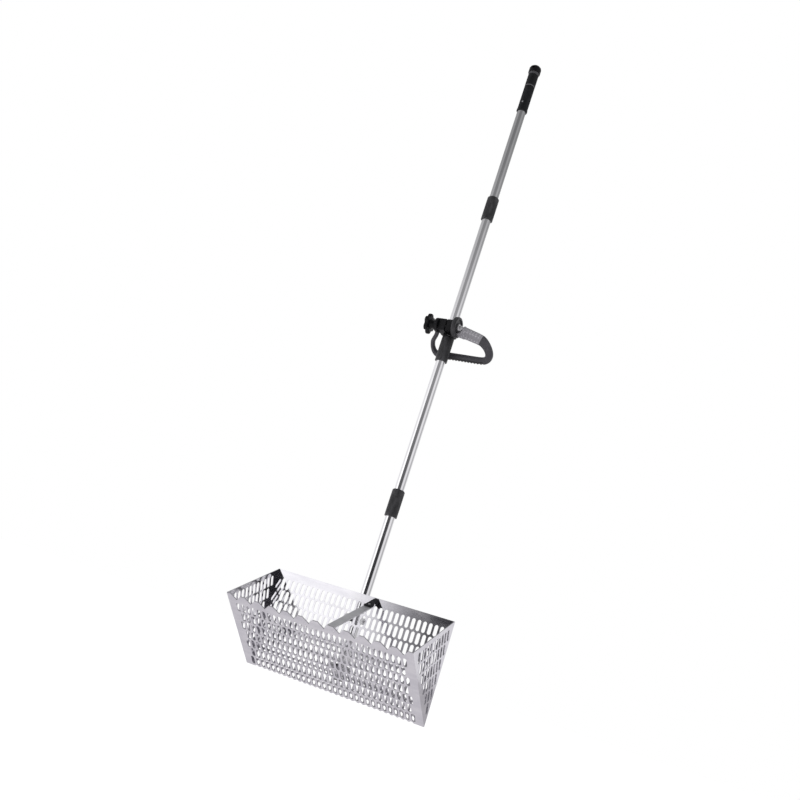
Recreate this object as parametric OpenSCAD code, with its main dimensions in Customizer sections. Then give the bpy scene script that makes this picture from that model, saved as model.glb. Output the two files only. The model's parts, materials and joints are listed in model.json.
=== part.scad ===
// Long-handled beach sand scoop: a wedge-shaped slotted basket on a screw-together pole,
// with an end grip and a clamp-on loop handle. Millimetres, +Z up along the pole.
// The origin is the centre of the hang hole in the cap of the end grip.

/* [Basket] */
// Outside width of the basket
basket_width = 500; // [380:600]
// Height of the back panel, from the fold to its top edge
back_height = 244; // [180:300]
// Length of the front panel, from the fold to the tooth tips
front_height = 240; // [180:300]
// Angle between the two panels, degrees
mouth_angle = 53; // [40:65]
// Sheet thickness
sheet = 2; // [1:0.5:3]

/* [Slots] */
// Width of one sieve slot
slot_width = 9.5; // [6:0.5:11]
// Length of one sieve slot, end to end
slot_length = 27; // [18:34]
// Distance between neighbouring slots in a row
slot_pitch = 15; // [12:20]
// Distance between rows
row_pitch = 30; // [28:40]
// Distance from the fold to the lowest row of the front panel
front_first_row = 20.5; // [18:30]
// Distance from the fold to the lowest row of the back panel
back_first_row = 31; // [26:40]
// Rows in the front and back panels
row_count = 7; // [4:8]
// Slots in each row of a side panel, from its top edge down
side_row_counts = [11, 9, 7, 5, 3, 1];
// Reach of the slots that cross the fold into the front panel
fold_slot_front = 4; // [2:6]
// Reach of the slots that cross the fold into the back panel
fold_slot_back = 14.5; // [8:16]

/* [Teeth] */
// Height of the digging teeth
tooth_height = 16; // [8:24]
// Flat top of one tooth
tooth_flat = 13; // [6:20]
// Whole teeth between the two corner teeth
tooth_count = 11; // [7:15]

/* [Brace] */
// Tooth that carries the brace strap, counted from the middle one
brace_tooth = 1; // [-5:5]
// Width of the brace strap
brace_width = 22; // [15:30]
// Thickness of the brace strap
brace_thickness = 2.5; // [2:0.5:4]

/* [Pole] */
// Outside diameter of the pole tubes
tube_diameter = 25; // [22:30]
// Wall of the pole tubes
tube_wall = 1.2; // [1:0.1:2]
// Wall of a connector sleeve round its tube
connector_wall = 4; // [3.5:0.5:6]
// Length of a connector sleeve
connector_length = 72; // [55:80]
// Height of the top of the lowest connector above the fold
first_connector_top = 519; // [420:600]
// Distance from one connector to the next
section_pitch = 435; // [350:450]
// Turning clearance between a tube end and its connector
turn_clearance = 0.05; // [0.02:0.01:0.1]

/* [End grip] */
// Wall of the end grip round its tube
grip_wall = 4; // [3.5:0.5:6]
// Length of the end grip below its cap
grip_length = 136; // [100:180]
// Height of the cap
cap_height = 24; // [18:30]
// How far the cap stands proud of the grip
cap_flare = 1; // [0:0.5:3]
// Diameter of the hang hole
hang_hole = 7; // [5:10]

/* [Loop handle] */
// Height of the clamp bolt above the top of the middle connector
clamp_height = 19; // [19:300]
// Distance from the face of the tube forward to the middle of the clamp bolt
bolt_setback = 16.5; // [15:22]
// Distance from the clamp bolt to the middle of the grip bar
loop_reach = 84; // [80:100]
// Gap between the grip bar and the connector in front of it
bar_gap = 2.3; // [1:10]
// Diameter of the grip bar
bar_diameter = 20; // [16:22]
// Diameter of the clamp bolt
bolt_diameter = 8; // [6:10]
// Length of the stem of the star knob
stem_length = 14; // [10:20]
// Thickness of the lobed rim of the star knob
knob_rim = 10; // [8:22]
// Diameter of the star knob
knob_diameter = 55; // [45:65]

/* [Hidden] */
$fn = 48;
half_width = basket_width / 2;
half_angle = mouth_angle / 2;
tube_r = tube_diameter / 2;
connector_r = tube_r + connector_wall;
grip_r = tube_r + grip_wall;
cap_r = grip_r + cap_flare;
// The pole runs just clear of the rear face of the back panel.
pole_y = tube_r + 0.3;
tube_bottom = 34;
// Each tube ends halfway up its connector, and the next tube stands on an O-ring above it.
joint_gap = 3;
connector_tops = [for (i = [0:2]) first_connector_top + i * section_pitch];
tube_tops = [for (t = connector_tops) t - connector_length / 2];
tube_starts = [for (t = tube_tops) t + joint_gap];
grip_bottom = connector_tops[2] + 290;
grip_top = grip_bottom + grip_length;
cap_top = grip_top + cap_height;
hang_z = grip_top + cap_height / 2;
// Teeth: one pitch fits the full width between the two corner teeth.
corner_flat = 11.7;
tooth_flank = 13.9;
tooth_pitch = (basket_width - 2 * (corner_flat + tooth_flank)) / tooth_count;
brace_offset = brace_tooth * tooth_pitch;
brace_bend = [-38, back_height - 27];
brace_top = [-sheet, back_height - 4];
// The saddle bolts pass through slots of the shifted rows, under wide washers.
saddle_rows = [1, row_count - 2];
saddle_bolt_x = 1.5 * slot_pitch;
saddle_zs = [for (r = saddle_rows) back_first_row + r * row_pitch];
saddle_height = 16;
// Loop handle stack along the bolt, from the pole axis outwards.
bolt_z = connector_tops[1] + clamp_height;
clamp_tall = 32;
liner_r = tube_r + 2;
clamp_half = liner_r + 7.5;
bolt_forward = tube_r + bolt_setback;
bolt_r = bolt_diameter / 2;
bolt_y = pole_y - bolt_forward;
left_eye_in = clamp_half + 0.5;
left_eye_out = left_eye_in + 9.5;
right_eye_in = clamp_half + 0.5;
right_eye_out = right_eye_in + 11.5;
bar_r = bar_diameter / 2;
loop_angle = asin((bolt_forward + connector_r + bar_r + bar_gap) / loop_reach);

module placed() {
    translate([0, -pole_y, -hang_z]) children();
}

// A slot through a panel lying in the X-Z plane, centred at x and height s.
module slot(x, s) {
    straight = (slot_length - slot_width) / 2;
    translate([x, -2, s]) {
        translate([-slot_width / 2, 0, -straight]) cube([slot_width, sheet + 4, 2 * straight]);
        for (e = [-1, 1]) translate([0, 0, e * straight]) rotate([-90, 0, 0])
            cylinder(d = slot_width, h = sheet + 4);
    }
}

// Rows of slots; every second row is shifted by half a pitch and has one slot less.
module slot_rows(first, fold_reach) {
    last = floor((half_width - 20 - slot_width / 2) / slot_pitch);
    for (r = [0:row_count - 1]) {
        shifted = (row_count - 1 - r) % 2;
        for (k = [-last:last - shifted])
            slot((k + shifted / 2) * slot_pitch, first + r * row_pitch);
    }
    for (k = [-last:last - 1]) translate([(k + 0.5) * slot_pitch, -2, fold_reach - slot_width / 2]) {
        rotate([-90, 0, 0]) cylinder(d = slot_width, h = sheet + 4);
        translate([-slot_width / 2, 0, -20]) cube([slot_width, sheet + 4, 20]);
    }
}

// A flat panel standing on the fold line, its outer face at y = 0 and mitred along the fold.
module panel(height, first, fold_reach) {
    difference() {
        rotate([90, 0, 90]) translate([0, 0, -half_width]) linear_extrude(basket_width)
            polygon([[0, 0], [sheet, sheet / tan(half_angle)], [sheet, height], [0, height]]);
        slot_rows(first, fold_reach);
    }
}

module back_panel() {
    color([0.72, 0.72, 0.74]) placed()
        mirror([0, 1, 0]) panel(back_height, back_first_row, fold_slot_back);
}

module front_panel() {
    first_valley = -half_width + corner_flat + tooth_flank;
    valley_half = (tooth_pitch - tooth_flat) / 2;
    color([0.72, 0.72, 0.74]) placed() rotate([mouth_angle, 0, 0]) difference() {
        panel(front_height, front_first_row, fold_slot_front);
        for (i = [0:tooth_count]) translate([first_valley + i * tooth_pitch, sheet + 1, 0])
            rotate([90, 0, 0]) linear_extrude(sheet + 2)
                polygon([[0, front_height - tooth_height],
                         [valley_half * 1.1, front_height + tooth_height * 0.1],
                         [-valley_half * 1.1, front_height + tooth_height * 0.1]]);
        for (e = [-1, 1]) translate([brace_offset + e * 5, -1, front_height - 13])
            rotate([-90, 0, 0]) cylinder(r = 2, h = sheet + 2);
    }
}

// A triangular end plate between the inner faces of the two panels, in the Y-Z plane.
module side_plate() {
    fold = [-sheet, sheet / tan(half_angle)];
    rear = [-sheet, back_height];
    front = [-front_height * sin(mouth_angle) + sheet * cos(mouth_angle),
             front_height * cos(mouth_angle) + sheet * sin(mouth_angle)];
    tilt = atan2(rear[1] - front[1], rear[0] - front[0]);
    mid = [(rear[0] + front[0]) / 2, (rear[1] + front[1]) / 2];
    difference() {
        rotate([90, 0, 90]) linear_extrude(sheet) polygon([fold, front, rear]);
        translate([0, mid[0], mid[1]]) rotate([tilt, 0, 0]) rotate([0, 0, 90])
            for (r = [0:len(side_row_counts) - 1]) for (k = [1:side_row_counts[r]])
                translate([0, -sheet, 0])
                    slot((k - (side_row_counts[r] + 1) / 2) * slot_pitch, -24 - r * row_pitch);
    }
}

module side_panel_left() {
    color([0.70, 0.70, 0.73]) placed() translate([-half_width, 0, 0]) side_plate();
}

module side_panel_right() {
    color([0.70, 0.70, 0.73]) placed() translate([half_width - sheet, 0, 0]) side_plate();
}

// The strap is a flat bar across the mouth. Its foot is riveted inside one tooth, and its
// rear end is bent up a little to carry the bracket.
module brace_strap() {
    n = [cos(mouth_angle), sin(mouth_angle)];
    d = [-sin(mouth_angle), cos(mouth_angle)];
    low = d * (front_height - 22) + n * sheet;
    high = d * (front_height - 3) + n * sheet;
    run = (brace_bend - high) / norm(brace_bend - high);
    rise = (brace_top - brace_bend) / norm(brace_top - brace_bend);
    up = [-run[1], run[0]] * brace_thickness;
    tail = brace_bend + rise * 13;
    tail_up = [-rise[1], rise[0]] * brace_thickness;
    color([0.66, 0.66, 0.70]) placed() difference() {
        translate([brace_offset - brace_width / 2, 0, 0]) rotate([90, 0, 90])
            linear_extrude(brace_width)
                polygon([low, low + n * brace_thickness, high + n * brace_thickness * 1.1 - d * 2,
                         brace_bend - up, tail - tail_up, tail, brace_bend, high + d * 1.5, high]);
        brace_rivet_places() cylinder(r = 2, h = 12);
    }
}

// The three rivets of the brace, flush on their outer side: two in the tooth, one in the bracket.
module brace_rivet_places() {
    for (e = [-1, 1]) translate([brace_offset + e * 5, 0, 0]) rotate([mouth_angle - 90, 0, 0])
        translate([0, -front_height + 13, 0]) children();
    slope = atan2(brace_top[1] - brace_bend[1], brace_top[0] - brace_bend[0]);
    translate([brace_offset, brace_bend[0], brace_bend[1]]) rotate([slope, 0, 0])
        translate([0, 7, 0.1 - brace_thickness]) children();
}

// A dark tapered bracket from the strap's rear end up to the top edge of the back panel.
module brace_bracket() {
    slope = atan2(brace_top[1] - brace_bend[1], brace_top[0] - brace_bend[0]);
    reach = norm(brace_top - brace_bend);
    half = brace_width / 2;
    color([0.10, 0.10, 0.11]) placed() difference() {
        translate([brace_offset, brace_bend[0], brace_bend[1]]) rotate([slope, 0, 0])
            difference() {
                linear_extrude(brace_thickness)
                    polygon([[-half, 0], [half, 0], [4.5, reach + 6], [-4.5, reach + 6]]);
                translate([0, 7, -1]) cylinder(r = 2, h = brace_thickness + 2);
            }
        translate([brace_offset - 30, -sheet, back_height - 30]) cube([60, 30, 60]);
        translate([brace_offset - 30, -30, back_height]) cube([60, 60, 30]);
    }
}

module brace_rivets() {
    color([0.6, 0.6, 0.62]) placed() brace_rivet_places() {
        grip = sheet + brace_thickness;
        cylinder(r = 2, h = grip + 0.5);
        translate([0, 0, grip + 0.4]) cylinder(r = 3.2, h = 1.2);
    }
}

module pole_saddles() {
    color([0.62, 0.62, 0.65]) placed() for (z = saddle_zs)
        translate([0, 0, z - saddle_height / 2]) difference() {
            union() {
                translate([0, pole_y, 0]) cylinder(r = tube_r + 2, h = saddle_height);
                translate([-tube_r - 2, 0, 0]) cube([2 * tube_r + 4, pole_y, saddle_height]);
                translate([-32, 0, 0]) cube([64, 2, saddle_height]);
            }
            translate([0, pole_y, -1]) cylinder(r = tube_r, h = saddle_height + 2);
            translate([-tube_r, -1, -1]) cube([2 * tube_r, pole_y + 1, saddle_height + 2]);
            translate([-tube_r, -5, -1]) cube([2 * tube_r, 5, saddle_height + 2]);
            for (e = [-1, 1]) translate([e * saddle_bolt_x, -1, saddle_height / 2])
                rotate([-90, 0, 0]) cylinder(r = 2.6, h = 4);
        }
}

module saddle_bolts() {
    color([0.6, 0.6, 0.62]) placed() for (z = saddle_zs, e = [-1, 1])
        translate([e * saddle_bolt_x, 0, z]) rotate([90, 0, 0]) {
            translate([0, 0, -2]) cylinder(r = 2.5, h = sheet + 8);
            translate([0, 0, -5]) cylinder(r = 4.6, h = 3);
        }
}

module saddle_nuts() {
    color([0.6, 0.6, 0.62]) placed() for (z = saddle_zs, e = [-1, 1])
        translate([e * saddle_bolt_x, -sheet - 1.2, z]) rotate([90, 0, 0]) difference() {
            cylinder(r = 4.6, h = 4, $fn = 6);
            translate([0, 0, -1]) cylinder(r = 2.5, h = 6);
        }
}

// Wide washers bridge the slots that the saddle bolts pass through.
module saddle_washers() {
    color([0.65, 0.65, 0.67]) placed() for (z = saddle_zs, e = [-1, 1])
        translate([e * saddle_bolt_x, -sheet, z]) rotate([90, 0, 0]) difference() {
            cylinder(r = slot_width / 2 + 3, h = 1.2);
            translate([0, 0, -1]) cylinder(r = 2.5, h = 4);
        }
}

// A plug closes the lower end of the pole against sand.
module pole_foot_plug() {
    color([0.12, 0.12, 0.13]) placed() translate([0, pole_y, tube_bottom]) {
        translate([0, 0, -2]) cylinder(r = tube_r - 0.2, h = 2);
        cylinder(r = tube_r - tube_wall, h = 18);
    }
}

module tube(bottom, top) {
    color([0.74, 0.74, 0.76]) placed() translate([0, pole_y, bottom]) difference() {
        cylinder(r = tube_r, h = top - bottom);
        translate([0, 0, -1]) cylinder(r = tube_r - tube_wall, h = top - bottom + 2);
    }
}

module tube_1() tube(tube_bottom, tube_tops[0]);
module tube_2() tube(tube_starts[0], tube_tops[1]);
module tube_3() tube(tube_starts[1], tube_tops[2]);
module tube_4() tube(tube_starts[2], grip_top - 4);

// A black sleeve fixed on the tube below; the tube above turns in its upper half.
module connector(top) {
    color([0.10, 0.10, 0.11]) placed() translate([0, pole_y, top - connector_length])
        rotate_extrude() polygon([[tube_r, 0], [connector_r, 0],
                                  [connector_r, connector_length - 3],
                                  [connector_r - 3, connector_length],
                                  [tube_r + turn_clearance, connector_length],
                                  [tube_r + turn_clearance, connector_length / 2],
                                  [tube_r, connector_length / 2]]);
}

module connector_1() connector(connector_tops[0]);
module connector_2() connector(connector_tops[1]);
module connector_3() connector(connector_tops[2]);

// A sealing ring between the ends of two tubes, inside their connector.
module o_ring(z) {
    color([0.05, 0.05, 0.05]) placed() translate([0, pole_y, z]) difference() {
        cylinder(r = tube_r - 0.2, h = joint_gap);
        translate([0, 0, -1]) cylinder(r = tube_r - 3, h = joint_gap + 2);
    }
}

module o_ring_1() o_ring(tube_tops[0]);
module o_ring_2() o_ring(tube_tops[1]);
module o_ring_3() o_ring(tube_tops[2]);

module end_grip() {
    color([0.16, 0.16, 0.17]) placed() translate([0, pole_y, grip_bottom]) difference() {
        rotate_extrude() polygon([[tube_r, 0], [grip_r - 2, 0], [grip_r, 2],
                                  [grip_r, grip_length - 8], [tube_r, grip_length - 8]]);
        translate([0, 0, 26]) rotate([90, 0, 0]) cylinder(r = 2.5, h = 40);
    }
}

module grip_ring() {
    color([0.3, 0.3, 0.31]) placed() translate([0, pole_y, grip_top - 8]) difference() {
        cylinder(r = grip_r - 1.2, h = 8);
        translate([0, 0, -1]) cylinder(r = tube_r, h = 10);
    }
}

// The rounded cap plugs the top of the pole and carries the hang hole.
module grip_cap() {
    r = cap_r;
    color([0.10, 0.10, 0.11]) placed() translate([0, pole_y, grip_top]) difference() {
        union() {
            rotate_extrude() polygon([[0, 0], [r - 1, 0], [r, 1], [r, cap_height - 9],
                                      [r - 1.5, cap_height - 5], [r - 4.5, cap_height - 2],
                                      [r - 9, cap_height], [0, cap_height]]);
            translate([0, 0, -30]) cylinder(r = tube_r - tube_wall, h = 30);
        }
        translate([0, 0, cap_height / 2]) rotate([90, 0, 0])
            cylinder(d = hang_hole, h = 4 * cap_r, center = true);
    }
}

// A countersunk screw that holds the grip on its tube.
module grip_screw() {
    color([0.7, 0.7, 0.72]) placed() translate([0, pole_y, grip_bottom + 26])
        rotate([90, 0, 0]) translate([0, 0, tube_r + 0.3]) {
            cylinder(r = 2.5, h = grip_r - tube_r - 0.3);
            translate([0, 0, grip_r - tube_r - 0.3]) cylinder(r = 2.4, h = 0.6);
        }
}

// A split liner slides along the third tube and turns inside the clamp.
module clamp_liner() {
    color([0.2, 0.2, 0.21]) placed() translate([0, pole_y, bolt_z - clamp_tall / 2 - 2])
        difference() {
            union() {
                cylinder(r = liner_r, h = clamp_tall + 4);
                cylinder(r = liner_r + 2, h = 1.9);
                translate([0, 0, clamp_tall + 2.1]) cylinder(r = liner_r + 2, h = 1.9);
            }
            translate([0, 0, -1]) cylinder(r = tube_r + turn_clearance, h = clamp_tall + 6);
        }
}

module clamp_body() {
    color([0.09, 0.09, 0.10]) placed() translate([0, 0, bolt_z]) difference() {
        union() {
            translate([0, pole_y, -clamp_tall / 2])
                cylinder(r = clamp_half - 1, h = clamp_tall);
            translate([-clamp_half, bolt_y - 11, -clamp_tall / 2])
                cube([2 * clamp_half, pole_y - bolt_y + 11, clamp_tall]);
        }
        translate([0, pole_y, -clamp_tall / 2 - 1])
            cylinder(r = liner_r + turn_clearance, h = clamp_tall + 2);
        translate([-1.5, bolt_y - 12, -clamp_tall / 2 - 1])
            cube([3, pole_y - bolt_y + 12, clamp_tall + 2]);
        translate([-clamp_half - 1, bolt_y, 0]) rotate([0, 90, 0])
            cylinder(r = bolt_r, h = 2 * clamp_half + 2);
    }
}

module clamp_bolt() {
    left_end = left_eye_out + stem_length + 2;
    color([0.7, 0.7, 0.72]) placed() translate([-left_end, bolt_y, bolt_z])
        rotate([0, 90, 0]) cylinder(r = bolt_r, h = left_end + right_eye_out + 11.5);
}

module nut_washer() {
    color([0.7, 0.7, 0.72]) placed() translate([right_eye_out + 0.3, bolt_y, bolt_z])
        rotate([0, 90, 0]) difference() {
            cylinder(r = 9, h = 1.6);
            translate([0, 0, -1]) cylinder(r = bolt_r, h = 4);
        }
}

module lock_nut() {
    color([0.78, 0.78, 0.80]) placed() translate([right_eye_out + 1.9, bolt_y, bolt_z])
        rotate([0, 90, 0]) difference() {
            union() {
                cylinder(r = 7.5, h = 6, $fn = 6);
                translate([0, 0, 6]) cylinder(r = 6, h = 2);
            }
            translate([0, 0, -1]) cylinder(r = bolt_r, h = 10);
        }
}

// Places its children in the plane of the loop: x across, y down from the bolt to the bar.
module in_loop_plane() {
    placed() translate([0, bolt_y, bolt_z]) rotate([loop_angle - 90, 0, 0]) children();
}

// One closed moulding: two eyes on the bolt, a round bar behind the pole, two arms.
module loop_handle() {
    v = loop_reach;
    color([0.13, 0.13, 0.14]) in_loop_plane() difference() {
        union() {
            translate([-29, v, 0]) rotate([0, 90, 0]) cylinder(r = bar_r, h = 138);
            translate([0, 0, -7]) linear_extrude(14)
                polygon([[-left_eye_out, 14], [-36, 24], [-40, 32], [-46, 42], [-49, v - 31],
                         [-48.5, v - 16], [-44, v - 3], [-36, v + 6], [-27, v + 9],
                         [-27, v - 9], [-33, v - 11], [-37, v - 20], [-38, v - 31],
                         [-35, 44], [-30, 32], [-25, 24], [-left_eye_in, 14]]);
            translate([0, 0, -8]) linear_extrude(16)
                polygon([[right_eye_in, 26], [36, 24], [64, 31], [92, 38], [102, v - 38],
                         [110, v - 28], [111.5, v - 18], [108, v - 10], [108, v + 9],
                         [118, v + 5], [128.5, v - 7], [132, v - 16], [132, v - 25],
                         [128.5, v - 40], [116.5, v - 58], [104.5, v - 72], [75, 4],
                         [45, -5], [right_eye_in, -12]]);
            translate([-left_eye_out, 0, 0]) rotate([0, 90, 0])
                cylinder(r = 19, h = left_eye_out - left_eye_in);
            translate([right_eye_in, 0, 0]) rotate([0, 90, 0])
                cylinder(r = 28, h = right_eye_out - right_eye_in);
        }
        translate([-left_eye_out - 1, 0, 0]) rotate([0, 90, 0])
            cylinder(r = bolt_r + turn_clearance, h = left_eye_out - left_eye_in + 2);
        translate([right_eye_in - 1, 0, 0]) rotate([0, 90, 0])
            cylinder(r = bolt_r + turn_clearance, h = right_eye_out - right_eye_in + 2);
        translate([right_eye_out, 0, 0]) rotate([0, 90, 0]) cylinder(r = 11.5, h = 13.5);
        translate([right_eye_out - 3, 0, 0]) rotate([0, 90, 0]) difference() {
            cylinder(r = 22, h = 4);
            translate([0, 0, -1]) cylinder(r = 12, h = 6);
        }
    }
}

// Thin friction discs fixed on the two faces of the clamp.
module eye_disc(x) {
    color([0.3, 0.3, 0.31]) placed() translate([x, bolt_y, bolt_z]) rotate([0, 90, 0])
        difference() {
            cylinder(r = 11, h = 0.3);
            translate([0, 0, -1]) cylinder(r = bolt_r, h = 3);
        }
}

module eye_disc_left() eye_disc(-clamp_half - 0.3);
module eye_disc_right() eye_disc(clamp_half);

module knob_washer() {
    color([0.7, 0.7, 0.72]) placed() translate([-left_eye_out - 2, bolt_y, bolt_z])
        rotate([0, 90, 0]) difference() {
            cylinder(r = 9, h = 1.6);
            translate([0, 0, -1]) cylinder(r = bolt_r + turn_clearance, h = 4);
        }
}

// A hollow-backed star knob on a tapered stem.
module star_knob() {
    r = knob_diameter / 2;
    color([0.08, 0.08, 0.09]) placed() translate([-left_eye_out - 2, bolt_y, bolt_z])
        rotate([0, -90, 0]) difference() {
            union() {
                cylinder(r1 = 9, r2 = 13, h = stem_length + 0.5);
                translate([0, 0, stem_length]) difference() {
                    cylinder(r = r, h = knob_rim);
                    for (i = [0:5]) rotate([0, 0, i * 60 + 17]) translate([r + 5, 0, -1])
                        cylinder(r = 11, h = knob_rim + 2);
                }
            }
            translate([0, 0, stem_length + 3]) cylinder(r = r - 9, h = knob_rim);
            translate([0, 0, -1]) cylinder(r = 7, h = stem_length + 8);
        }
}

// The threaded metal insert moulded into the knob.
module knob_insert() {
    color([0.75, 0.68, 0.4]) placed() translate([-left_eye_out - 2, bolt_y, bolt_z])
        rotate([0, -90, 0]) difference() {
            cylinder(r = 7, h = stem_length + 3);
            translate([0, 0, -1]) cylinder(r = bolt_r + turn_clearance, h = stem_length + 5);
        }
}

back_panel();
front_panel();
side_panel_left();
side_panel_right();
brace_strap();
brace_bracket();
brace_rivets();
pole_saddles();
saddle_bolts();
saddle_nuts();
saddle_washers();
pole_foot_plug();
tube_1();
connector_1();
o_ring_1();
tube_2();
connector_2();
o_ring_2();
tube_3();
connector_3();
o_ring_3();
tube_4();
end_grip();
grip_ring();
grip_cap();
grip_screw();
clamp_liner();
clamp_body();
clamp_bolt();
nut_washer();
lock_nut();
loop_handle();
eye_disc_left();
eye_disc_right();
knob_washer();
star_knob();
knob_insert();
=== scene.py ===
import json

import bpy
import numpy as np
from mathutils import Matrix, Vector


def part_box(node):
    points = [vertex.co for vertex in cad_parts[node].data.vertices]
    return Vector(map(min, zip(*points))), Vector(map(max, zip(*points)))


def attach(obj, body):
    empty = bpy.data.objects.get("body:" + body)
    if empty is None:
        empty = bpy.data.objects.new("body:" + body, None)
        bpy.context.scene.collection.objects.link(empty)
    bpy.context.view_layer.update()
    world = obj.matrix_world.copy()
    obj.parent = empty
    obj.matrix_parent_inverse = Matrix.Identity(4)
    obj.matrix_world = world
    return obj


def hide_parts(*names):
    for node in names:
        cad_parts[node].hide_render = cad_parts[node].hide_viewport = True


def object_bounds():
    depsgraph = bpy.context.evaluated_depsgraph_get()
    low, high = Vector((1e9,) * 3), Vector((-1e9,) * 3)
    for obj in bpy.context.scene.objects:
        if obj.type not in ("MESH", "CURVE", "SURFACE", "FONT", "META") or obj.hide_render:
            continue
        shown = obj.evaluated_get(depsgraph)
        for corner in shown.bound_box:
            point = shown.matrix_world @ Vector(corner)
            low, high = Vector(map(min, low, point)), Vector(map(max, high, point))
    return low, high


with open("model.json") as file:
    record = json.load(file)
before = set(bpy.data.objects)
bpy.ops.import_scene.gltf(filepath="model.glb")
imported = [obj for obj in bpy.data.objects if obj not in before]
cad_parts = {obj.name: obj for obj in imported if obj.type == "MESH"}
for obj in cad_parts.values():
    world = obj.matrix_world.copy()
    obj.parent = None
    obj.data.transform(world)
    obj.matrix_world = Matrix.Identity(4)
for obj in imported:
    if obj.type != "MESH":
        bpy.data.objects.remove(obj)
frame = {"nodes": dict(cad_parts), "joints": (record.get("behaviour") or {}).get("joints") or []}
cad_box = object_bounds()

scene = bpy.context.scene

# ---------------------------------------------------------------------------
# Camera. It stands a little above the basket, in front of the toothed panel and to its right,
# and looks up along the pole, which leans to the right in its view.
# ---------------------------------------------------------------------------
lens = bpy.data.cameras.new("camera")
lens.lens = 40.5
lens.sensor_width = 36.0
camera = bpy.data.objects.new("camera", lens)
scene.collection.objects.link(camera)
turn = Matrix(((0.8793, -0.1642, 0.4471), (0.3659, -0.3681, -0.8548), (0.3049, 0.9152, -0.2636)))
camera.matrix_world = Matrix.Translation((0.9915, -2.0478, -1.7023)) @ turn.to_4x4()
scene.camera = camera
scene.view_settings.view_transform = "Standard"


# ---------------------------------------------------------------------------
# Studio. A wide pale floor well below the basket, a white surround, a dark flag in front of the
# scoop for the polished steel to reflect, and two large soft lamps.
# ---------------------------------------------------------------------------
class Wire:
    """A value in a shader. Arithmetic on wires adds Math nodes, and node() adds any other node."""

    def __init__(self, tree, socket):
        self.tree, self.socket = tree, socket

    def node(self, kind, settings=None, sockets=None, out=0):
        made = self.tree.nodes.new("ShaderNode" + kind)
        for name, value in (settings or {}).items():
            setattr(made, name, value)
        for key, value in (sockets or {}).items():
            if isinstance(value, Wire):
                self.tree.links.new(value.socket, made.inputs[key])
            else:
                made.inputs[key].default_value = value
        return Wire(self.tree, made.outputs[out])

    def math(self, operation, *others):
        return self.node("Math", {"operation": operation}, dict(enumerate((self, *others))))

    def __add__(self, other):
        return self.math("ADD", other)

    def __radd__(self, other):
        return self.math("ADD", other)

    def __sub__(self, other):
        return self.math("SUBTRACT", other)

    def __rsub__(self, other):
        return self.node("Math", {"operation": "SUBTRACT"}, {0: other, 1: self})

    def __mul__(self, other):
        return self.math("MULTIPLY", other)

    def __rmul__(self, other):
        return self.math("MULTIPLY", other)

    def part(self, axis):
        """The X, Y or Z number of a vector wire."""
        return self.node("SeparateXYZ", None, {0: self}, "XYZ".index(axis))

    def ease(self, low, high):
        """0 below low, 1 above high, and a smooth step between them."""
        return self.node("MapRange", {"interpolation_type": "SMOOTHSTEP"},
                         {"Value": self, "From Min": low, "From Max": high})

    def blend(self, first, second):
        """A colour that goes from the first to the second as this wire goes from 0 to 1."""
        return self.node("Mix", {"data_type": "RGBA"}, {0: self, 6: first, 7: second}, 2)


world = bpy.data.worlds.new("studio")
scene.world = world
world.use_nodes = True
sky = world.node_tree
backdrop = sky.nodes["Background"]
way = Wire(sky, sky.nodes.new("ShaderNodeTexCoord").outputs["Generated"])
bearing = way.part("X").math("ARCTAN2", way.part("Y") * -1.0)
height = way.part("Z")
flag = bearing.ease(-0.46, -0.36) * (1.0 - bearing.ease(0.65, 1.05))
softened = 1.0 - 0.55 * height.ease(0.05, 0.50)
window = bearing.ease(-1.3, -0.9) * (1.0 - bearing.ease(-0.47, -0.40)) * (1.0 - height.ease(0.15, 0.4))
side_band = bearing.ease(1.55, 1.85) * (1.0 - bearing.ease(2.3, 2.6))
surround = height.ease(0.28, 0.55).blend((0.92, 0.91, 0.93, 1.0), (0.34, 0.34, 0.345, 1.0))
surround = (0.55 * side_band).blend(surround, (0.20, 0.20, 0.20, 1.0))
surround = window.blend(surround, (1.45, 1.45, 1.45, 1.0))
surround = (flag * softened).blend(surround, (0.028, 0.028, 0.032, 1.0))
seen = Wire(sky, sky.nodes.new("ShaderNodeLightPath").outputs["Is Camera Ray"])
sky.links.new(seen.blend(surround, (1.0, 1.0, 1.0, 1.0)).socket, backdrop.inputs["Color"])

floor_level = cad_box[0][2] - 0.55
floor_mesh = bpy.data.meshes.new("floor")
floor_mesh.from_pydata([(-40, -40, floor_level), (40, -40, floor_level),
                        (40, 40, floor_level), (-40, 40, floor_level)], [], [(0, 1, 2, 3)])
floor = bpy.data.objects.new("floor", floor_mesh)
scene.collection.objects.link(floor)
pale = bpy.data.materials.new("pale_floor")
pale.use_nodes = True
floor_tree = pale.node_tree
floor_shader = floor_tree.nodes["Principled BSDF"]
floor_shader.inputs["Roughness"].default_value = 0.9
floor_shader.inputs["Specular IOR Level"].default_value = 0.0
floor_shader.inputs["Emission Strength"].default_value = 1.0
direct = Wire(floor_tree, floor_tree.nodes.new("ShaderNodeLightPath").outputs["Is Camera Ray"])
floor_tree.links.new(direct.blend((0.80, 0.79, 0.81, 1.0), (0.90, 0.90, 0.90, 1.0)).socket,
                     floor_shader.inputs["Base Color"])
floor_tree.links.new(direct.blend((0.24, 0.23, 0.235, 1.0), (0.75, 0.75, 0.75, 1.0)).socket,
                     floor_shader.inputs["Emission Color"])
floor_mesh.materials.append(pale)


def softbox(name, place, aim, size, power):
    """A square area lamp at place that looks at aim. The steel reflects the surround, not the lamp."""
    lamp = bpy.data.lights.new(name, "AREA")
    lamp.size, lamp.energy = size, power
    holder = bpy.data.objects.new(name, lamp)
    holder.visible_glossy = False
    scene.collection.objects.link(holder)
    facing = (Vector(aim) - Vector(place)).to_track_quat("-Z", "Y")
    holder.matrix_world = Matrix.Translation(place) @ facing.to_matrix().to_4x4()


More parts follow.
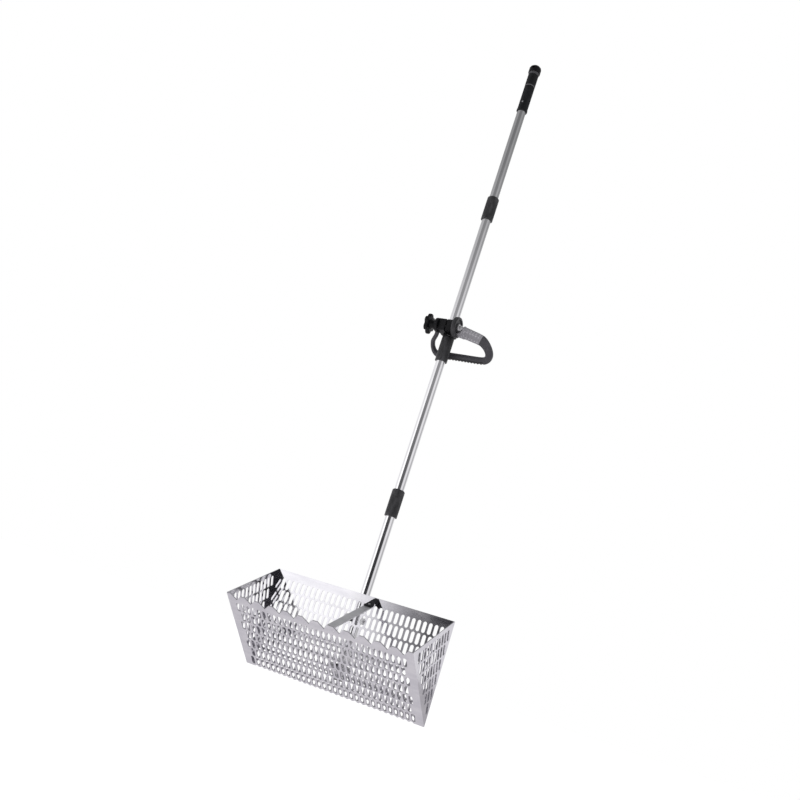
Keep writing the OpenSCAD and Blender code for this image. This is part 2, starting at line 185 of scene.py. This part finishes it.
softbox("key_lamp", (-3.2, -1.9, 0.1), (0.0, 0.0, -1.2), 1.8, 75)
softbox("fill_lamp", (2.8, -0.4, 0.6), (0.0, 0.0, -1.2), 1.6, 30)

# ---------------------------------------------------------------------------
# Basket. Four stainless sheets, laser cut with rows of round-ended slots and welded at their edges:
# the upright back, the toothed front that leans forward and the two triangular ends. The sheet keeps
# its bright rolled finish, with a fine grain along it and faint smears.
# ---------------------------------------------------------------------------
def finish(name, **fixed):
    """A new material: its shader, and its Object coordinates as a wire. fixed sets plain sockets."""
    made = bpy.data.materials.new(name)
    made.use_nodes = True
    tree = made.node_tree
    shader = tree.nodes["Principled BSDF"]
    for socket, value in fixed.items():
        shader.inputs[socket.replace("_", " ")].default_value = value
    return made, shader, Wire(tree, tree.nodes.new("ShaderNodeTexCoord").outputs["Object"])


def feed(shader, **links):
    """Links wires to the shader's sockets; a height goes through a Bump node."""
    for socket, wire in links.items():
        if socket == "height":
            depth, wire = wire
            wire = wire.node("Bump", None, {"Strength": 1.0, "Distance": depth, "Height": wire})
            socket = "Normal"
        wire.tree.links.new(wire.socket, shader.inputs[socket.replace("_", " ")])


def speckle(place, stretch, size, detail=3.0):
    """Noise from 0 to 1 whose grains are size metres apart, drawn out by stretch along X, Y and Z."""
    drawn = place.node("Mapping", None, {"Vector": place, "Scale": tuple(1.0 / s for s in stretch)})
    return drawn.node("TexNoise", None, {"Vector": drawn, "Scale": 1.0 / size, "Detail": detail})


def dress(material, *names):
    """Gives CAD nodes that material."""
    for name in names:
        for holder in frame["nodes"][name].material_slots:
            holder.material = material


sheet_steel, shader, place = finish("rolled_sheet_steel", Metallic=1.0)
grain = speckle(place, (14.0, 1.0, 1.0), 0.0009)
smears = speckle(place, (1.6, 1.0, 1.0), 0.045, 4.0)
bands = speckle(place, (6.0, 1.0, 1.0), 0.012, 2.0)
tone = (0.6 * smears + 0.4 * bands).ease(0.35, 0.68)
feed(shader,
     Base_Color=tone.blend((0.60, 0.59, 0.63, 1.0), (0.71, 0.70, 0.73, 1.0)),
     Roughness=0.06 + 0.05 * grain + 0.07 * smears.ease(0.45, 0.75),
     height=(0.00002, grain + 0.4 * bands))
dress(sheet_steel, "back_panel", "front_panel", "side_panel_left", "side_panel_right")

# ---------------------------------------------------------------------------
# Brace. A strip of the same stainless sheet runs from one digging tooth back across the mouth, and
# a black coated, tapered bracket carries it up to the top edge of the back panel. Three flush
# rivets hold them.
# ---------------------------------------------------------------------------
strap_steel, shader, place = finish("satin_strap_steel", Metallic=1.0)
grain = speckle(place, (1.0, 12.0, 12.0), 0.0007)
smears = speckle(place, (1.0, 1.0, 1.0), 0.02, 4.0)
feed(shader,
     Base_Color=smears.ease(0.3, 0.7).blend((0.80, 0.80, 0.83, 1.0), (0.90, 0.90, 0.92, 1.0)),
     Roughness=0.22 + 0.16 * grain + 0.06 * smears,
     height=(0.00005, grain))
dress(strap_steel, "brace_strap")

bracket_black, shader, place = finish("black_coated_steel", Specular_IOR_Level=0.22)
peel = speckle(place, (1.0, 1.0, 1.0), 0.0016, 2.0)
dust = speckle(place, (1.0, 1.0, 1.0), 0.012, 5.0)
feed(shader,
     Base_Color=dust.ease(0.45, 0.75).blend((0.010, 0.010, 0.012, 1.0), (0.030, 0.030, 0.034, 1.0)),
     Roughness=0.46 + 0.18 * dust + 0.06 * peel,
     height=(0.00010, peel))
dress(bracket_black, "brace_bracket")

turned_steel, shader, place = finish("turned_fastener_steel", Metallic=1.0)
rings = speckle(place, (1.0, 1.0, 1.0), 0.0006, 2.0)
stain = speckle(place, (1.0, 1.0, 1.0), 0.004, 4.0)
feed(shader,
     Base_Color=stain.ease(0.35, 0.7).blend((0.58, 0.58, 0.60, 1.0), (0.80, 0.80, 0.81, 1.0)),
     Roughness=0.16 + 0.14 * stain + 0.08 * rings,
     height=(0.00004, rings))
dress(turned_steel, "brace_rivets")

# ---------------------------------------------------------------------------
# Pole fixing. Two pressed steel saddles hold the lowest tube behind the back panel, with four bolts
# through its slots, wide washers and hexagon nuts. A moulded plug closes the foot of the tube.
# ---------------------------------------------------------------------------
dress(turned_steel, "pole_saddles", "saddle_bolts", "saddle_nuts", "saddle_washers")

moulded_black, shader, place = finish("moulded_black_plastic", Specular_IOR_Level=0.22)
pebble = speckle(place, (1.0, 1.0, 1.0), 0.0007, 2.0)
scuff = speckle(place, (1.0, 1.0, 1.6), 0.009, 5.0)
feed(shader,
     Base_Color=scuff.ease(0.5, 0.8).blend((0.005, 0.005, 0.006, 1.0), (0.014, 0.014, 0.016, 1.0)),
     Roughness=0.26 + 0.14 * scuff + 0.06 * pebble,
     height=(0.00008, pebble))
dress(moulded_black, "pole_foot_plug")

# ---------------------------------------------------------------------------
# Tubes. Four lengths of thin-walled stainless tube, polished bright, with drawing lines along them.
# ---------------------------------------------------------------------------
tube_steel, shader, place = finish("polished_tube_steel", Metallic=1.0)
drawn = speckle(place, (1.0, 1.0, 60.0), 0.0008, 2.0)
handling = speckle(place, (1.0, 1.0, 4.0), 0.016, 5.0)
feed(shader,
     Base_Color=handling.ease(0.35, 0.75).blend((0.78, 0.78, 0.79, 1.0), (0.86, 0.86, 0.87, 1.0)),
     Roughness=0.07 + 0.07 * drawn + 0.07 * handling.ease(0.5, 0.8),
     height=(0.00003, drawn))
dress(tube_steel, "tube_1", "tube_2", "tube_3", "tube_4")


# ---------------------------------------------------------------------------
# Connectors. Three black moulded sleeves join the tubes. Each is pressed on the lower tube and the
# upper one screws into it; shallow ribs run along the sleeve for grip, and its top edge is bevelled.
# ---------------------------------------------------------------------------
def skin(name, points, material, body, along=True, start=0.0, spans=(1.0, 1.0), sharp=40):
    """A closed mesh through a grid of points, rows x columns x 3, whose last column joins the first.
    along joins the last row to the first, and otherwise a fan closes each end. The faces are turned
    outwards by the sign of the enclosed volume. The map "wrap" runs over the spans, from start."""
    rows, columns = points.shape[:2]
    last = rows if along else rows - 1
    i, j = np.meshgrid(np.arange(last), np.arange(columns), indexing="ij")
    down, right = (i + 1) % rows, (j + 1) % columns
    quads = np.stack([i * columns + j, down * columns + j, down * columns + right,
                      i * columns + right], -1).reshape(-1, 4)
    u = start + np.stack([i, i + 1, i + 1, i], -1).reshape(-1, 4) * spans[0] / last
    v = np.stack([j, j, j + 1, j + 1], -1).reshape(-1, 4) * spans[1] / columns
    verts = points.reshape(-1, 3)
    faces = [quads]
    if not along:
        ends = np.stack([points[0].mean(0), points[-1].mean(0)])
        ring = np.arange(columns)
        first = np.stack([np.full(columns, len(verts)), ring, (ring + 1) % columns], -1)
        far = (rows - 1) * columns
        final = np.stack([np.full(columns, len(verts) + 1), far + (ring + 1) % columns, far + ring], -1)
        verts = np.vstack([verts, ends])
        faces += [first, final]
    fans = np.vstack(faces[1:]) if len(faces) > 1 else None
    a, b, c, d = (verts[quads[:, k]] for k in range(4))
    volume = np.einsum("ij,ij->", a, np.cross(b, c)) + np.einsum("ij,ij->", a, np.cross(c, d))
    if fans is not None:
        p, q, r = (verts[fans[:, k]] for k in range(3))
        volume += np.einsum("ij,ij->", p, np.cross(q, r))
    step = 1 if volume > 0 else -1
    loops = [list(f) for block in faces for f in block[:, ::step].tolist()]
    mesh = bpy.data.meshes.new(name)
    mesh.from_pydata(verts.tolist(), [], loops)
    wrap = np.stack([u[:, ::step], v[:, ::step]], -1).reshape(-1, 2)
    if fans is not None:
        wrap = np.vstack([wrap, np.full((fans.size, 2), start)])
    mesh.uv_layers.new(name="wrap").data.foreach_set("uv", wrap.ravel())
    mesh.polygons.foreach_set("use_smooth", [True] * len(mesh.polygons))
    mesh.set_sharp_from_angle(angle=np.radians(sharp))
    mesh.materials.append(material)
    made = bpy.data.objects.new(name, mesh)
    scene.collection.objects.link(made)
    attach(made, body)
    return made


def rounded(corners, radius, steps=5):
    """A closed outline through the corners, each cut back by its radius and bridged by a quadratic
    curve, so that the outline has a soft edge there."""
    corners = np.asarray(corners, float)
    before, after = np.roll(corners, 1, 0) - corners, np.roll(corners, -1, 0) - corners
    reach = np.broadcast_to(np.asarray(radius, float), len(corners))[:, None]
    ahead, behind = np.linalg.norm(after, axis=1)[:, None], np.linalg.norm(before, axis=1)[:, None]
    start = corners + before / behind * np.minimum(reach, behind * 0.45)
    end = corners + after / ahead * np.minimum(reach, ahead * 0.45)
    t = np.linspace(0, 1, steps)[None, :, None]
    return ((1 - t) ** 2 * start[:, None] + 2 * t * (1 - t) * corners[:, None]
            + t ** 2 * end[:, None]).reshape(-1, 2)


def finer(outline, gap):
    """The closed outline with points added so that no two neighbours are more than gap apart."""
    ahead = np.roll(outline, -1, 0)
    counts = np.maximum(1, np.ceil(np.linalg.norm(ahead - outline, axis=1) / gap)).astype(int)
    part = np.arange(counts.sum()) - np.repeat(np.cumsum(counts) - counts, counts)
    t = (part / np.repeat(counts, counts))[:, None]
    return np.repeat(outline, counts, 0) * (1 - t) + np.repeat(ahead, counts, 0) * t


def lathe(outline, turns, middle, axis="Z", ripple=None):
    """Turns a closed outline of (distance along the axis, radius) about an axis through middle.
    ripple(distance, radius, angle) gives what is taken off the radius."""
    angle = np.linspace(0, 2 * np.pi, turns, endpoint=False)[None, :]
    t, r = outline[:, :1], outline[:, 1:]
    r = r - (ripple(t, r, angle) if ripple else 0) + 0 * angle
    t = t + 0 * angle
    across, upward = r * np.cos(angle), r * np.sin(angle)
    columns = (across, upward, t) if axis == "Z" else (t, upward, across)
    return np.stack(columns, -1) + np.asarray(middle, float)


ribbed_black, shader, place = finish("ribbed_black_plastic", IOR=1.46)
pebble = speckle(place, (1.0, 1.0, 1.0), 0.0007, 2.0)
rubbed = speckle(place, (1.0, 1.0, 3.0), 0.010, 5.0)
feed(shader,
     Base_Color=rubbed.ease(0.4, 0.75).blend((0.024, 0.024, 0.026, 1.0), (0.058, 0.058, 0.062, 1.0)),
     Roughness=0.30 + 0.16 * rubbed + 0.08 * pebble,
     height=(0.00010, pebble))

tube_radius = (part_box("tube_1")[1][0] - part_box("tube_1")[0][0]) / 2
for number in (1, 2, 3):
    low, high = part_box(f"connector_{number}")
    outer, length = (high[0] - low[0]) / 2, high[2] - low[2]
    inner = tube_radius + 0.00005
    sleeve = finer(rounded([(0, inner), (0, outer), (length - 0.003, outer),
                            (length, outer - 0.003), (length, inner)],
                           [0.0002, 0.0010, 0.0012, 0.0008, 0.0002]), 0.0025)

    def ribs(t, r, angle):
        """36 rounded grooves 0.5 mm deep that fade out near both ends, only on the outer wall."""
        window = np.clip((t - 0.005) / 0.004, 0, 1) * np.clip((length - 0.012 - t) / 0.004, 0, 1)
        return 0.0005 * window * (r > outer - 0.0008) * (0.5 - 0.5 * np.cos(36 * angle)) ** 3

    sleeve_piece = skin(f"ribbed_connector_{number}", lathe(sleeve, 288, (0, 0, low[2]), "Z", ribs),
                        ribbed_black,
                        ("basket", "section_2", "section_3")[number - 1])
    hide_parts(f"connector_{number}")

# ---------------------------------------------------------------------------
# Sealing rings. A plain black rubber ring lies between the ends of two tubes in each connector.
# ---------------------------------------------------------------------------
ring_rubber, shader, place = finish("black_rubber", IOR=1.5)
bloom = speckle(place, (1.0, 1.0, 1.0), 0.002, 4.0)
feed(shader,
     Base_Color=bloom.ease(0.4, 0.8).blend((0.012, 0.012, 0.013, 1.0), (0.040, 0.040, 0.042, 1.0)),
     Roughness=0.55 + 0.25 * bloom,
     height=(0.00006, bloom))
dress(ring_rubber, "o_ring_1", "o_ring_2", "o_ring_3")

# ---------------------------------------------------------------------------
# End grip. A black moulded sleeve with a bead round its lower end, a fine ring two thirds up and
# long shallow flutes; above it a narrow collar, painted grey as a glint of light, and a rounded cap
# with a cross hole for a cord.
# A small screw holds it.
# ---------------------------------------------------------------------------
low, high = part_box("end_grip")
grip_radius, grip_height = (high[0] - low[0]) / 2 - 0.0008, high[2] - low[2]
grip_black, shader, place = finish("soft_grip_plastic", IOR=1.44, Specular_IOR_Level=0.35)
pebble = speckle(place, (1.0, 1.0, 1.0), 0.0009, 3.0)
wear = speckle(place, (1.0, 1.0, 1.5), 0.012, 5.0)
base = wear.ease(0.45, 0.8).blend((0.005, 0.0055, 0.0065, 1.0), (0.015, 0.016, 0.019, 1.0))
from_ring = (place.part("Z") - float(low[2] + 0.0885)).math("ABSOLUTE")
feed(shader,
     Base_Color=(1.0 - from_ring.ease(0.0012, 0.0018)).blend(base, (0.12, 0.12, 0.125, 1.0)),
     Roughness=0.40 + 0.18 * wear + 0.08 * pebble,
     height=(0.00018, pebble))

inner = tube_radius + 0.00005
screw_height, screw_reach = 0.026, 0.0026
grip_outline = finer(rounded([(0, inner), (0, grip_radius - 0.002), (0.002, grip_radius),
                              (0.007, grip_radius), (0.009, grip_radius - 0.0008),
                              (0.0865, grip_radius - 0.0008), (0.0875, grip_radius - 0.0018),
                              (0.0895, grip_radius - 0.0018), (0.0905, grip_radius - 0.0006),
                              (grip_height, grip_radius - 0.0006), (grip_height, inner)],
                             0.0006, 4), 0.0012)


def flutes(t, r, angle):
    """24 shallow flutes 0.35 mm deep along the grip, and a round dimple for the screw head."""
    window = np.clip((t - 0.011) / 0.006, 0, 1) * np.clip((0.084 - t) / 0.006, 0, 1)
    outside = r > grip_radius - 0.0012
    across = ((angle - 1.5 * np.pi + np.pi) % (2 * np.pi) - np.pi) * grip_radius
    dimple = np.clip(1.35 - np.hypot(across, t - screw_height) / screw_reach, 0, 1)
    plain = np.clip((np.hypot(across, t - screw_height) - 0.0045) / 0.003, 0, 1)
    flute = 0.00035 * window * plain * (0.5 - 0.5 * np.cos(24 * angle)) ** 2
    return outside * (flute + np.where(dimple > 0.3, 0.0009, 0.0))


grip_piece = skin("moulded_end_grip", lathe(grip_outline, 288, (0, 0, low[2]), "Z", flutes),
                  grip_black, "section_4")
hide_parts("end_grip")

# Painted highlight: the collar is painted grey, lighter than the black grip, for the glint under the
# cap; the mottle on it is random.
glint_collar_grey, shader, place = finish("grey_collar_painted_glint", IOR=1.46)
mottle = speckle(place, (1.0, 1.0, 1.0), 0.003, 4.0)
feed(shader,
     Base_Color=mottle.ease(0.35, 0.75).blend((0.05, 0.05, 0.055, 1.0), (0.10, 0.10, 0.105, 1.0)),
     Roughness=0.34 + 0.2 * mottle,
     height=(0.00008, mottle))
dress(glint_collar_grey, "grip_ring")
dress(moulded_black, "grip_cap")
dress(turned_steel, "grip_screw")

# ---------------------------------------------------------------------------
# Clamp. A split black block closes on a plastic liner that slides on the third tube. One long
# stainless bolt passes through it and both eyes of the loop handle, between thin friction discs,
# with a washer and a lock nut on the right and the star knob on the left.
# ---------------------------------------------------------------------------
dress(moulded_black, "clamp_body", "clamp_liner")

zinc_steel, shader, place = finish("zinc_plated_steel", Metallic=0.85)
crystals = speckle(place, (1.0, 1.0, 1.0), 0.0008, 3.0)
dulled = speckle(place, (1.0, 1.0, 1.0), 0.004, 4.0)
feed(shader,
     Base_Color=dulled.ease(0.35, 0.7).blend((0.78, 0.78, 0.79, 1.0), (0.93, 0.93, 0.93, 1.0)),
     Roughness=0.36 + 0.16 * dulled + 0.08 * crystals,
     height=(0.00004, crystals))
dress(zinc_steel, "clamp_bolt", "nut_washer", "lock_nut", "knob_washer")
dress(ring_rubber, "eye_disc_left", "eye_disc_right")

# ---------------------------------------------------------------------------
# Loop handle. One closed plastic moulding: two eyes on the bolt, a slim hook on the left, a round
# bar behind the pole with finger grooves on its underside, which is painted near black as shade, and
# a broad arm on the right that narrows towards the bar. The arm's dotted face is painted lighter as a
# highlight, and the lighter paint ends in a clean line at the corner.
# ---------------------------------------------------------------------------
bolt = np.array(next(j for j in frame["joints"] if j["name"] == "loop_tilt")["pos_m"])
eye_left, eye_right = -0.032, 0.034
reach, bar_radius = 0.084, 0.010
bolt_forward, connector_radius, bar_gap = 0.029, 0.0165, 0.0023
lean = np.arcsin((bolt_forward + connector_radius + bar_radius + bar_gap) / reach)
outward = np.array([0.0, np.sin(lean), -np.cos(lean)])
facing = np.array([0.0, np.cos(lean), np.sin(lean)])

# Stations along the middle of the moulding, in millimetres in its own plane: distance across,
# distance from the bolt towards the bar, width in the plane, thickness through it, and squareness.
stations = np.array([
    (-27.3, 2, 9.4, 14, 3.5), (-27.5, 10, 9.4, 14, 3.5), (-29.2, 20, 10, 14, 3.5),
    (-32.8, 29, 10.5, 14, 3.4), (-38.0, 38, 10.8, 14, 3.2), (-42.2, 46, 10.8, 14, 3.0),
    (-43.4, 56, 10.6, 14, 2.8), (-42.4, 66, 11.2, 14.5, 2.6), (-38.2, 76, 13, 16, 2.4),
    (-31.0, 82, 16.5, 18, 2.2), (-22, 84, 19.6, 19.6, 2), (-8, 84, 20, 20, 2), (20, 84, 20, 20, 2),
    (50, 84, 20, 20, 2), (80, 84, 20, 20, 2), (98, 83.6, 20, 20, 2), (109, 81.5, 20, 19.4, 2.1),
    (117, 76, 20, 18, 2.3), (121, 68, 20.3, 17, 2.6), (121.2, 59, 20.8, 16, 3),
    (118.2, 49, 21.4, 16, 3.4), (113.4, 40.5, 22.8, 16, 3.8), (107, 32.5, 25, 16, 4),
    (100, 27, 27, 16, 4.4), (91, 23.4, 28, 16, 4.6), (76, 18.9, 28.7, 16, 4.8),
    (60, 14.4, 29.3, 16, 4.8), (47, 11, 30, 16, 4.8)])


def curve_through(knots, count):
    """Catmull-Rom: between two stations each number follows the cubic that passes through both and
    leaves each parallel to the line between its neighbours."""
    padded = np.vstack([2 * knots[0] - knots[1], knots, 2 * knots[-1] - knots[-2]])
    s = np.linspace(0, len(knots) - 1, count)
    k = np.minimum(s.astype(int), len(knots) - 2)
    t = (s - k)[:, None]
    p0, p1, p2, p3 = (padded[k + n] for n in range(4))
    return p1 + 0.5 * t * (p2 - p0 + t * (2 * p0 - 5 * p1 + 4 * p2 - p3
                                          + t * (3 * (p1 - p2) + p3 - p0)))


path = curve_through(stations, 900)
spacing = np.concatenate([[0], np.cumsum(np.linalg.norm(np.diff(path[:, :2], axis=0), axis=1))])
even = np.linspace(0, spacing[-1], 420)
path = np.stack([np.interp(even, spacing, column) for column in path.T], 1)
path[:, :4] /= 1000
heading = np.gradient(path[:, :2], axis=0)
heading /= np.linalg.norm(heading, axis=1)[:, None]
sideways = np.stack([-heading[:, 1], heading[:, 0]], 1)
angle = np.linspace(0, 2 * np.pi, 72, endpoint=False)[None, :]
power = 2 / path[:, 4:5]
span = path[:, 2:3] / 2 * np.sign(np.cos(angle)) * np.abs(np.cos(angle)) ** power
depth = path[:, 3:4] / 2 * np.sign(np.sin(angle)) * np.abs(np.sin(angle)) ** power
# Finger grooves: on the side of the bar away from the bolt, a cosine 2.6 mm deep every 9 mm.
x = path[:, :1]
window = np.clip((x - 0.004) / 0.004, 0, 1) * np.clip((0.106 - x) / 0.004, 0, 1) * (path[:, 1:2] > 0.07)
away = np.clip(np.sign(sideways[:, 1:2]) * np.cos(angle), 0, 1)
span = span - np.sign(span) * 0.0026 * window * away * (0.5 - 0.5 * np.cos(2 * np.pi * x / 0.009))
flat = path[:, None, :2] + span[..., None] * sideways[:, None]
loop_points = (bolt + flat[..., :1] * np.array([1.0, 0.0, 0.0]) + flat[..., 1:] * outward
               + depth[..., None] * facing)
loop_length = even[-1] / 1000
half = len(path) // 2
corner_spot = (0.0985, 0.0262)
corner_row = half + np.argmin(np.hypot(*(path[half:, :2] - corner_spot).T))
corner = float(even[corner_row]) / 1000
bar_start, bar_end = (float(even[np.argmin(np.hypot(*(path[:, :2] - spot).T))]) / 1000
                      for spot in ((-0.004, 0.084), (0.108, 0.0818)))

loop_plastic, shader, place = finish("loop_handle_plastic", IOR=1.48)
pebble = speckle(place, (1.0, 1.0, 1.0), 0.0008, 3.0)
wear = speckle(place, (1.0, 1.0, 1.0), 0.014, 5.0)
wrap = Wire(pebble.tree, pebble.tree.nodes.new("ShaderNodeUVMap").outputs["UV"])
wrap.socket.node.uv_map = "wrap"
along, girth = wrap.part("X"), wrap.part("Y")
# Painted highlight: past the corner the arm's face is painted a lighter grey, carrying its moulded
# dots; before the corner the moulding stays dark.
highlit_face = along.ease(corner - 0.0004, corner + 0.0004)
dot_turn = 120 * np.pi  # half a wave every 8.3 mm, twelve round the arm
dots = (along * dot_turn).math("SINE") * (girth * dot_turn).math("SINE")
dots = dots.math("ABSOLUTE").ease(0.25, 0.75)
painted_highlight_grey = dots.blend((0.31, 0.305, 0.325, 1.0), (0.46, 0.455, 0.48, 1.0))
dark = wear.ease(0.4, 0.8).blend((0.050, 0.049, 0.056, 1.0), (0.085, 0.084, 0.094, 1.0))
on_bar = along.ease(bar_start, bar_start + 0.003) * (1.0 - along.ease(bar_end - 0.003, bar_end))
# Painted shade: half of the bar's girth, its grooved underside, is painted near black, darker than the
# rest of the moulding.
underside_painted_shade = on_bar * (girth * (20 * np.pi)).math("COSINE").ease(-0.12, 0.02)
dark = underside_painted_shade.blend(dark, (0.009, 0.009, 0.011, 1.0))
feed(shader,
     Base_Color=highlit_face.blend(dark, painted_highlight_grey),
     Roughness=0.40 + 0.16 * wear + 0.06 * pebble,
     height=(0.00030, 0.35 * pebble + highlit_face * dots))

arm = skin("loop_moulding", loop_points, loop_plastic, "loop", along=False,
           spans=(loop_length, 0.1), sharp=50)

# The root of the arm passes under the nut's pocket into the eye.
root_outline = rounded(np.array([(0.0240, 0.0120), (0.0345, 0.0120), (0.0415, 0.0105),
                                 (0.0470, 0.0020), (0.0480, -0.0042), (0.0530, -0.0028),
                                 (0.0530, 0.0279), (0.0360, 0.0241), (0.0240, 0.0258)]),
                       [0.0010, 0.0020, 0.0030, 0.0030, 0.0010, 0.0004, 0.0004, 0.0020, 0.0010])
root_outline = finer(root_outline, 0.0015)
middle = np.array([0.0465, 0.0150])
layers = np.array([(-0.0080, 0.02), (-0.0080, 0.955), (-0.0076, 0.985), (-0.0066, 1.0),
                   (0.0066, 1.0), (0.0076, 0.985), (0.0080, 0.955), (0.0080, 0.02)])
shrunk = middle + (root_outline[None] - middle) * layers[:, 1, None, None]
root_points = (bolt + shrunk[..., :1] * np.array([1.0, 0.0, 0.0]) + shrunk[..., 1:] * outward
               + layers[:, 0, None, None] * facing)
root = skin("loop_arm_root", root_points, loop_plastic, "loop", along=False,
            start=loop_length, spans=(0.02, 0.1), sharp=50)

bore = 0.00405
left_eye = rounded([(eye_left, bore), (eye_left, 0.019), (-0.0225, 0.019), (-0.0225, bore)],
                   [0.0003, 0.0018, 0.0018, 0.0003])
right_eye = rounded([(0.0225, bore), (0.0225, 0.028), (eye_right, 0.028), (eye_right, 0.022),
                     (eye_right - 0.003, 0.0215), (eye_right - 0.003, 0.0125), (eye_right, 0.012),
                     (eye_right, bore)],
                    [0.0003, 0.0022, 0.0022, 0.0008, 0.0008, 0.0008, 0.0006, 0.0003])
# Painted highlight: the right eye takes the lighter ribbed plastic for the light on its rim, and the
# left eye the black moulded plastic, though both are one moulding.
eyes = [skin(name, lathe(finer(outline, 0.0015), 128, (0, bolt[1], bolt[2]), "X"), plastic,
             "loop", spans=(0.05, 0.1))
        for name, outline, plastic in (("loop_eye_left", left_eye, moulded_black),
                                       ("loop_eye_right", right_eye, ribbed_black))]
for piece in (arm, root, *eyes):
    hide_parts("loop_handle")

# ---------------------------------------------------------------------------
# Star knob. A black moulded knob with six soft lobes, hollow on its outer side, on a tapered stem.
# A turned brass insert, moulded in, carries the thread.
# ---------------------------------------------------------------------------
seat = eye_left - 0.002
knob_outline = finer(rounded(
    [(seat, 0.0071), (seat, 0.009), (seat - 0.0130, 0.0126), (seat - 0.0143, 0.0275),
     (seat - 0.0240, 0.0275), (seat - 0.0240, 0.0200), (seat - 0.0172, 0.0180),
     (seat - 0.0168, 0.0071)],
    [0.0003, 0.0006, 0.0024, 0.0030, 0.0024, 0.0015, 0.0015, 0.0004], 6), 0.0010)


def lobes(t, r, angle):
    """Six soft hollows between the lobes, 5.6 mm deep on the rim and nothing on the stem. The knob's
    angle zero is its top, and the first hollow lies 17 degrees from it."""
    turned = np.pi / 2 - angle - np.radians(17)
    return (0.0056 * np.clip((r - 0.0185) / 0.0085, 0, 1) * (0.5 + 0.5 * np.cos(6 * turned)) ** 1.7
            * (r > 0.0185))


knob_piece = skin("lobed_star_knob", lathe(knob_outline, 240, (0, bolt[1], bolt[2]), "X", lobes),
                  moulded_black, "knob", sharp=55)
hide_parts("star_knob")

turned_brass, shader, place = finish("turned_brass", Metallic=1.0)
cuts = speckle(place, (0.4, 1.0, 1.0), 0.0007, 2.0)
tarnish = speckle(place, (1.0, 1.0, 1.0), 0.003, 4.0)
feed(shader,
     Base_Color=tarnish.ease(0.4, 0.75).blend((0.62, 0.46, 0.20, 1.0), (0.40, 0.27, 0.11, 1.0)),
     Roughness=0.24 + 0.2 * tarnish,
     height=(0.00005, cuts))
dress(turned_brass, "knob_insert")
